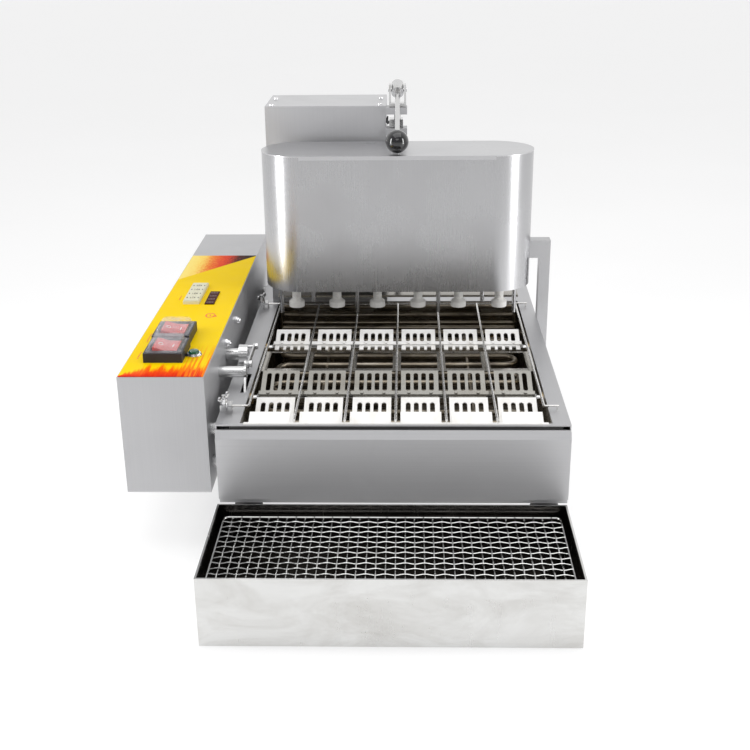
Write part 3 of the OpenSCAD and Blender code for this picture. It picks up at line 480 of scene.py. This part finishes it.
class Shape:
    """Collects vertices and faces, then makes one object that rides on a body."""

    def __init__(self):
        self.verts = []
        self.faces = []

    def ring_tube(self, path, radius, sides, closed=False):
        """A round tube along points, with flat caps unless it is closed."""
        start = len(self.verts)
        count = len(path)
        side = None
        for i, point in enumerate(path):
            ahead = path[(i + 1) % count] if closed or i < count - 1 else point
            behind = path[i - 1] if closed or i > 0 else point
            run = (ahead - behind).normalized()
            if side is None:
                side = run.orthogonal().normalized()
            side = (side - run * side.dot(run)).normalized()
            other = run.cross(side)
            for k in range(sides):
                angle = 2 * math.pi * k / sides
                self.verts.append(point + (side * math.cos(angle) + other * math.sin(angle)) * radius)
        loops = count if closed else count - 1
        for i in range(loops):
            for k in range(sides):
                a = start + i * sides + k
                b = start + i * sides + (k + 1) % sides
                c = start + (i + 1) % count * sides + (k + 1) % sides
                d = start + (i + 1) % count * sides + k
                self.faces.append((a, b, c, d))
        if not closed:
            self.faces.append(tuple(range(start + sides - 1, start - 1, -1)))
            last = start + (count - 1) * sides
            self.faces.append(tuple(range(last, last + sides)))

    def plate(self, outline, low, thick, place=Vector):
        """A flat closed outline of (x, y) points raised from low by thick; place maps points."""
        start = len(self.verts)
        count = len(outline)
        for z in (low, low + thick):
            self.verts.extend(place(Vector((x, y, z))) for x, y in outline)
        self.faces.append(tuple(range(start + count - 1, start - 1, -1)))
        self.faces.append(tuple(range(start + count, start + 2 * count)))
        for i in range(count):
            j = (i + 1) % count
            self.faces.append((start + i, start + j, start + count + j, start + count + i))

    def lathe(self, profile, centre, axis, sides):
        """A turned shape from (radius, height) points around an axis through centre."""
        start = len(self.verts)
        for radius, height in profile:
            for k in range(sides):
                angle = 2 * math.pi * k / sides
                x, y = radius * math.cos(angle), radius * math.sin(angle)
                spot = {"X": (height, x, y), "Y": (y, height, x)}[axis]
                self.verts.append(centre + Vector(spot))
        self.skin(start, len(profile), sides)
        self.faces.append(tuple(range(start + sides - 1, start - 1, -1)))
        last = start + (len(profile) - 1) * sides
        self.faces.append(tuple(range(last, last + sides)))

    def skin(self, start, rings, count):
        """Quads between rings of count vertices each, the first of them at start."""
        for i in range(rings - 1):
            for k in range(count):
                a, b = start + i * count + k, start + i * count + (k + 1) % count
                self.faces.append((a, b, b + count, a + count))

    def build(self, name, material, body, smooth=True):
        """Make the object with outward normals, ride it on body and name its finish."""
        mesh = bpy.data.meshes.new(name)
        mesh.from_pydata([tuple(v) for v in self.verts], [], self.faces)
        tool = bmesh.new()
        tool.from_mesh(mesh)
        bmesh.ops.recalc_face_normals(tool, faces=tool.faces)
        tool.to_mesh(mesh)
        tool.free()
        mesh.materials.append(MATERIALS[material])
        if smooth:
            mesh.shade_smooth()
            mesh.set_sharp_from_angle(angle=math.radians(38))
        piece = bpy.data.objects.new(name, mesh)
        bpy.context.scene.collection.objects.link(piece)
        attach(piece, body)
        return piece


def rectangle(cx, cy, half_x, half_y):
    return [(cx - half_x, cy - half_y), (cx + half_x, cy - half_y), (cx + half_x, cy + half_y),
            (cx - half_x, cy + half_y)]


def rounded_rectangle(cx, cy, width, depth, radius, steps=5):
    points = []
    for sx, sy, first in ((1, 1, 0), (-1, 1, 90), (-1, -1, 180), (1, -1, 270)):
        for i in range(steps + 1):
            angle = math.radians(first + 90 * i / steps)
            points.append((cx + sx * (width / 2 - radius) + radius * math.cos(angle),
                           cy + sy * (depth / 2 - radius) + radius * math.sin(angle)))
    return points


# --------------------------------------------------------------- the pieces

def woven_mesh():
    """Crimped wires woven over and under each other inside a round border rod."""
    low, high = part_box("tray_mesh")
    wire = 0.0008
    rod = 0.0015
    middle = (low.z + high.z) / 2
    columns, rows, steps = 36, 12, 6
    inset = rod
    x0, x1 = low.x + inset, high.x - inset
    y0, y1 = low.y + inset, high.y - inset
    px, py = (x1 - x0) / (columns + 1), (y1 - y0) / (rows + 1)
    shape = Shape()
    for j in range(1, rows + 1):
        count = (columns + 1) * steps
        path = []
        for i in range(count + 1):
            lift = wire * math.cos(math.pi * (i / steps + j))
            path.append(Vector((x0 + (x1 - x0) * i / count, y0 + j * py, middle + lift)))
        shape.ring_tube(path, wire, 6)
    for i in range(1, columns + 1):
        count = (rows + 1) * steps
        path = []
        for j in range(count + 1):
            lift = -wire * math.cos(math.pi * (j / steps + i))
            path.append(Vector((x0 + i * px, y0 + (y1 - y0) * j / count, middle + lift)))
        shape.ring_tube(path, wire, 6)
    border = [Vector((x, y, middle)) for x, y in
              rounded_rectangle((x0 + x1) / 2, (y0 + y1) / 2, x1 - x0, y1 - y0, 0.006)]
    shape.ring_tube(border, rod - 0.0001, 10, closed=True)
    piece = shape.build("woven_mesh", "mesh", "drain_mesh")
    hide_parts("tray_mesh")


def switch_cover(name, centre, low):
    """A soft clear cover with a foot flange and a slightly domed top."""
    shape = Shape()
    rings = [(0.0440, 0.0520, 0.0040, 0.0), (0.0440, 0.0520, 0.0040, 0.0012), (0.0405, 0.0485, 0.0050, 0.0018),
             (0.0385, 0.0465, 0.0060, 0.0072), (0.0350, 0.0430, 0.0060, 0.0092), (0.0240, 0.0320, 0.0060, 0.0098)]
    inner = [(0.0225, 0.0305, 0.0055, 0.0086), (0.0335, 0.0415, 0.0055, 0.0080), (0.0368, 0.0448, 0.0052, 0.0068),
             (0.0388, 0.0468, 0.0045, 0.0002)]
    outline = len(rounded_rectangle(0, 0, 1, 1, 0.1))
    for width, depth, radius, height in rings + inner:
        for x, y in rounded_rectangle(centre.x, centre.y, width, depth, radius):
            shape.verts.append(Vector((x, y, low + height)))
    shape.skin(0, len(rings), outline)
    top = (len(rings) - 1) * outline
    shape.faces.append(tuple(range(top, top + outline)))
    base = len(rings) * outline
    shape.faces.append(tuple(range(base + outline - 1, base - 1, -1)))
    shape.skin(base, len(inner), outline)
    last = base + (len(inner) - 1) * outline
    for k in range(outline):
        shape.faces.append((k, (k + 1) % outline, last + (k + 1) % outline, last + k))
    return shape.build(name, "clear", "fryer")


def switch_details():
    """Both switches: the clear cover over each, and the marks on its rocker."""
    low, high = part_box("switch_covers")
    for name in ("front", "rear"):
        a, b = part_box(name + "_rocker")
        centre = Vector(((a.x + b.x) / 2, (a.y + b.y) / 2, 0))
        switch_cover(name + "_switch_cover", centre, low.z + 0.00005)
        rocker_marks(name, centre)
    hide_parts("switch_covers")
    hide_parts("switch_covers")


def rocker_marks(name, centre):
    """A bar and a ring printed on the rocker's two faces."""
    pivot = Vector((centre.x, centre.y, flange_top + 0.061))
    tilt = Matrix.Rotation(math.radians(9), 4, "Y")

    def face(side):
        slope = Matrix.Rotation(-side * math.atan2(2, 15), 4, "Y")
        spot = Matrix.Translation((side * 0.0078, 0, 0.00407))
        return lambda p: pivot + (tilt @ spot @ slope) @ p

    marks = Shape()
    marks.plate(rectangle(0, 0, 0.0006, 0.005), 0, 0.0001, face(1))
    ring = [Vector((0.0026 * math.cos(a), 0.0036 * math.sin(a), 0.0001))
            for a in (2 * math.pi * k / 24 for k in range(24))]
    marks.ring_tube([face(-1)(p) for p in ring], 0.0004, 6, closed=True)
    marks.build(name + "_rocker_marks", "pale_ink", name + "_switch")


# The seven bars of a number, each from one corner to another of a 2 x 4 frame
SEGMENTS = {
    "a": ((-1, 2), (1, 2)), "b": ((1, 2), (1, 0)), "c": ((1, 0), (1, -2)), "d": ((-1, -2), (1, -2)),
    "e": ((-1, 0), (-1, -2)), "f": ((-1, 2), (-1, 0)), "g": ((-1, 0), (1, 0)),
}
DIGITS = ["abcdef", "bc", "abged", "abgcd", "fgbc", "afgcd", "afgedc", "abc", "abcdefg", "abcdfg"]


def digit_bars(shape, number, size, width, thick, place):
    """One number from straight bars, about size wide and twice as high."""
    for letter in DIGITS[number]:
        (ax, ay), (bx, by) = SEGMENTS[letter]
        a, b = Vector((ax, ay)) * size / 2, Vector((bx, by)) * size / 2
        run = (b - a).normalized()
        a, b = a + run * width * 0.2, b - run * width * 0.2
        side = Vector((-run.y, run.x)) * width / 2
        shape.plate([tuple(a - side), tuple(b - side), tuple(b + side), tuple(a + side)], 0, thick, place)


def number_wheels():
    """Ten printed numbers around each wheel, read from the front of the machine."""
    for i in range(4):
        low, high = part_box("thumbwheel_%d" % (i + 1))
        centre = (low + high) / 2
        radius = (high.z - low.z) / 2 + 0.00002
        shape = Shape()
        for number in range(10):
            turn = Matrix.Rotation(math.radians(-36 * number), 4, "Y")
            quarter = Matrix.Rotation(math.radians(90), 4, "Z")

            def place(p, turn=turn, quarter=quarter):
                q = quarter @ p
                bend = q.x / radius
                flat = Vector((radius * math.sin(bend), q.y, radius * math.cos(bend) + p.z))
                return centre + turn @ flat
            digit_bars(shape, (number + i * 3) % 10, 0.0032, 0.0013, 0.00005, place)
        shape.build("wheel_numbers_%d" % (i + 1), "ink", "number_wheel_%d" % (i + 1))


def display_numbers():
    low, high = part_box("display_window")
    shape = Shape()
    middle = (low + high) / 2
    for i in range(4):
        y = low.y + (high.y - low.y) * (i + 0.5) / 4

        def place(p, y=y):
            return Vector((middle.x - p.y, y + p.x, high.z + p.z))
        digit_bars(shape, 8, 0.0042, 0.0009, 0.00006, place)
    shape.build("display_numbers", "segment", "fryer")


def panel_marks():
    """A round arrow above the button and plain dashes where each control's label would be."""
    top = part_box("control_panel")[1].z
    film = 0.00012
    shape = Shape()
    centre = at(-255, 256, 0)
    steps = 28
    sweep = [math.radians(20 + 310 * k / steps) for k in range(steps + 1)]
    outer = [(centre.x + 0.0068 * math.cos(a), centre.y + 0.0095 * math.sin(a)) for a in sweep]
    inner = [(centre.x + 0.0052 * math.cos(a), centre.y + 0.0077 * math.sin(a)) for a in reversed(sweep)]
    for k in range(steps):
        shape.plate([outer[k], outer[k + 1], inner[steps - 1 - k], inner[steps - k]], top, film)
    tip = Vector((centre.x + 0.0062, centre.y - 0.0020))
    head = [(-0.0034, -0.0030), (0.0036, -0.0030), (0.0004, 0.0036)]
    shape.plate([(tip.x + x, tip.y + y) for x, y in head], top, film)
    shape.plate(rectangle(centre.x, centre.y, 0.0008, 0.003), top, film)
    dash_pitch = 5.2
    for x, y, count in ((-318.5, 92, 5), (-319.5, 154, 6), (-309.5, 326, 4)):
        for k in range(count):
            spot = at(x, y + k * dash_pitch, 0)
            shape.plate(rectangle(spot.x - 0.001, spot.y, 0.0006, 0.0018), top, film)
    shape.build("panel_marks", "red_ink", "fryer", smooth=False)


def timer_marks():
    """Small push pips printed beside each number wheel on the timer's frame."""
    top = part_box("timer_housing")[1].z
    shape = Shape()
    for i in range(4):
        low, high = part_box("thumbwheel_%d" % (i + 1))
        y = (low.y + high.y) / 2
        x = (low.x + high.x) / 2
        for side in (-1, 1):
            shape.plate(rectangle(x + side * 0.0078, y, 0.0007, 0.0022), top, 0.00008)
    shape.build("timer_marks", "ink", "fryer", smooth=False)


def screw_head(shape, spot, axis, sign):
    """A low domed head with a rim, on a wall facing sign along axis."""
    radius = 0.0032
    profile = [(radius, 0.0), (radius, 0.0006), (radius * 0.82, 0.0013), (radius * 0.45, 0.0017),
               (radius * 0.40, 0.0010), (radius * 0.05, 0.0010)]
    shape.lathe([(r, h * sign) for r, h in profile], spot, axis, 20)


def case_screws():
    """Domed screws that hold the covers of the control box, the body and the drive box."""
    shape = Shape()
    margin = 0.012
    low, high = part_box("control_box_shell")
    for y in (low.y + 0.03, (low.y + high.y) / 2, high.y - 0.03):
        screw_head(shape, Vector((low.x, y, low.z + margin)), "X", -1)
    for x in (low.x + margin, high.x - margin):
        for z in (low.z + margin, high.z - margin):
            screw_head(shape, Vector((x, high.y, z)), "Y", 1)
    low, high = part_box("body_shell")
    for x in (low.x + margin, (low.x + high.x) / 2, high.x - margin):
        for z in (low.z + 0.010, high.z - 0.010):
            screw_head(shape, Vector((x, high.y, z)), "Y", 1)
    low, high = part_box("drive_box")
    back = at(0, 593, 0).y
    for x in (at(-187, 0, 0).x, at(-25, 0, 0).x):
        for z in (low.z + margin, high.z - margin):
            screw_head(shape, Vector((x, back, z)), "Y", 1)
    shape.build("case_screws", "chrome", "fryer")


def hopper_seams():
    """Two rippled weld beads up the back of the hopper."""
    shape = Shape()
    back = at(0, 461, 0).y
    foot, pitch, ripple = 60, 3.4, 0.25
    for x in (-60, 60):
        path = [at(x + ripple * math.sin(k * 1.7), 0, foot + k * pitch) for k in range(55)]
        shape.ring_tube([Vector((p.x, back, p.z)) for p in path], 0.0007, 6)
    shape.build("hopper_seams", "hopper", "fryer")


def front_gap_painted_shade():
    """A black strip in the slit between the flange and the front panel: painted shade of the gap, not a seal."""
    shape = Shape()
    # Painted shade: a black block in rubber finish stands where the gap's shadow falls
    low, high = at(-197, 7.7, -9), at(197, 9.7, -1.15)
    middle = (low + high) / 2
    outline = rounded_rectangle(middle.x, middle.y, high.x - low.x, high.y - low.y, 0.0008, 3)
    shape.plate(outline, low.z, high.z - low.z)
    shape.build("front_gap_painted_shade", "rubber", "fryer")


def pale_ground():
    mesh = bpy.data.meshes.new("floor")
    reach = 30
    mesh.from_pydata([(-reach, -reach, 0), (reach, -reach, 0), (reach, reach, 0), (-reach, reach, 0)], [],
                     [(0, 1, 2, 3)])
    mesh.materials.append(pale_floor("floor"))
    floor = bpy.data.objects.new("floor", mesh)
    bpy.context.scene.collection.objects.link(floor)
    floor.location.z = -0.0002


# ----------------------------------------------------------------- lighting

def soft_light(name, spot, target, size, watts):
    """A rectangular soft box at spot, turned to target and not seen by the camera."""
    data = bpy.data.lights.new(name, "AREA")
    data.shape = "RECTANGLE"
    data.size, data.size_y = size
    data.energy = watts
    lamp = bpy.data.objects.new(name, data)
    bpy.context.scene.collection.objects.link(lamp)
    lamp.location = spot
    lamp.rotation_euler = (Vector(target) - Vector(spot)).to_track_quat("-Z", "Y").to_euler()
    lamp.visible_camera = False


def light_studio():
    """A white room that is darker on the viewer's side, with tall soft boxes left and right."""
    world = bpy.data.worlds.new("studio")
    world.use_nodes = True
    tree = world.node_tree
    background = tree.nodes["Background"]
    direction = tree.nodes.new("ShaderNodeTexCoord").outputs["Generated"]
    split = tree.nodes.new("ShaderNodeSeparateXYZ")
    tree.links.new(direction, split.inputs[0])
    fade = tree.nodes.new("ShaderNodeMapRange")
    tree.links.new(split.outputs["Y"], fade.inputs["Value"])
    fade.inputs["From Min"].default_value = -0.5
    fade.inputs["From Max"].default_value = 0.3
    tone = tree.nodes.new("ShaderNodeValToRGB")
    tree.links.new(fade.outputs["Result"], tone.inputs["Fac"])
    tone.color_ramp.elements[0].color = (0.34, 0.34, 0.35, 1)
    tone.color_ramp.elements[1].color = (1, 1, 1, 1)
    tree.links.new(tone.outputs["Color"], background.inputs["Color"])
    background.inputs["Strength"].default_value = 0.92
    bpy.context.scene.world = world
    bpy.context.scene.view_settings.view_transform = "Standard"
    soft_light("top_light", (0.1, -0.3, 2.3), (0, 0, 0.1), (2.4, 1.8), 17)
    soft_light("left_strip", (-1.08, -0.42, 0.55), (-0.1, 0.12, 0.3), (0.22, 1.1), 9)
    soft_light("right_strip", (1.17, -0.42, 0.55), (0.25, 0.12, 0.3), (0.20, 1.1), 8)
    soft_light("front_light", (0.1, -2.4, 1.9), (0, 0, 0.1), (1.4, 0.7), 5)


make_camera()
light_studio()
pale_ground()
dress_cad_nodes()
woven_mesh()
switch_details()
number_wheels()
display_numbers()
panel_marks()
timer_marks()
case_screws()
hopper_seams()
front_gap_painted_shade()
